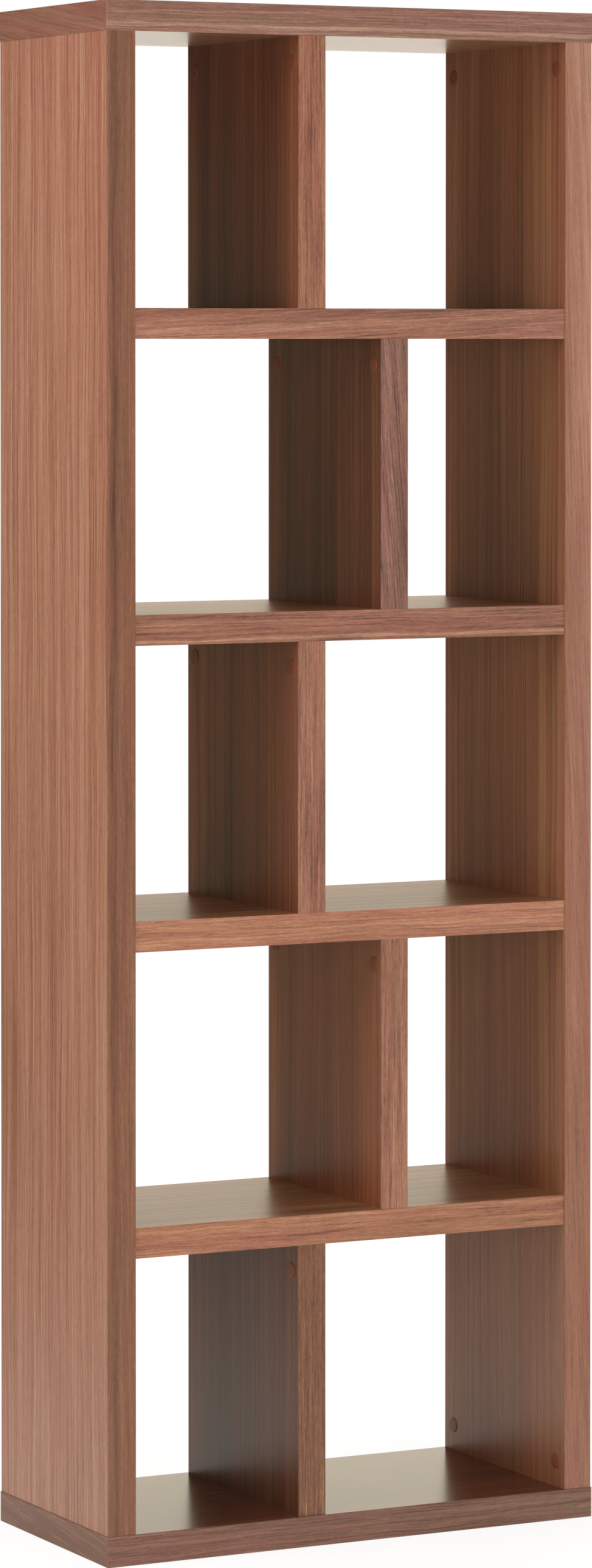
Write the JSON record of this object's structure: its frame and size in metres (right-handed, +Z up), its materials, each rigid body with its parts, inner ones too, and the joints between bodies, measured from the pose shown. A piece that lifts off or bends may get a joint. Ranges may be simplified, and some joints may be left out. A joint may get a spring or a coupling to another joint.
{
  "type": "bookcase",
  "caption": "Tall open-backed bookcase in walnut veneer, with fixed shelves and dividers that stand left and right of the middle in turn, for books and display pieces.",
  "frame": {"origin": "on the floor below the middle of the case", "axes": "+Z up; the front faces -Y; +X to the right of someone who faces the front"},
  "size_m": [0.704, 0.33, 1.979],
  "materials": {
    "walnut_veneer": "satin-lacquered walnut veneer on board",
    "walnut_lipping": "satin-lacquered walnut edge strip",
    "cap_plastic": "moulded, brown, matt",
    "cam_zinc": "die-cast zinc alloy, bare",
    "bolt_steel": "zinc-plated steel",
    "dowel_beech": "raw beech"
  },
  "bodies": {
    "root": {"bottom_panel": "walnut_veneer", "bottom_panel_lipping": "walnut_lipping", "divider_1": "walnut_veneer", "divider_1_lipping": "walnut_lipping", "divider_2": "walnut_veneer", "divider_2_lipping": "walnut_lipping", "divider_3": "walnut_veneer", "divider_3_lipping": "walnut_lipping", "divider_4": "walnut_veneer", "divider_4_lipping": "walnut_lipping", "divider_5": "walnut_veneer", "divider_5_lipping": "walnut_lipping", "divider_bolts": "bolt_steel", "divider_cams": "cam_zinc", "divider_caps": "cap_plastic", "divider_dowels": "dowel_beech", "left_side": "walnut_veneer", "left_side_lipping": "walnut_lipping", "right_side": "walnut_veneer", "right_side_lipping": "walnut_lipping", "shelf_1": "walnut_veneer", "shelf_1_lipping": "walnut_lipping", "shelf_2": "walnut_veneer", "shelf_2_lipping": "walnut_lipping", "shelf_3": "walnut_veneer", "shelf_3_lipping": "walnut_lipping", "shelf_4": "walnut_veneer", "shelf_4_lipping": "walnut_lipping", "shelf_dowels": "dowel_beech", "side_bolts": "bolt_steel", "side_cams": "cam_zinc", "side_caps": "cap_plastic", "top_panel": "walnut_veneer", "top_panel_lipping": "walnut_lipping"}
  },
  "joints": []
}
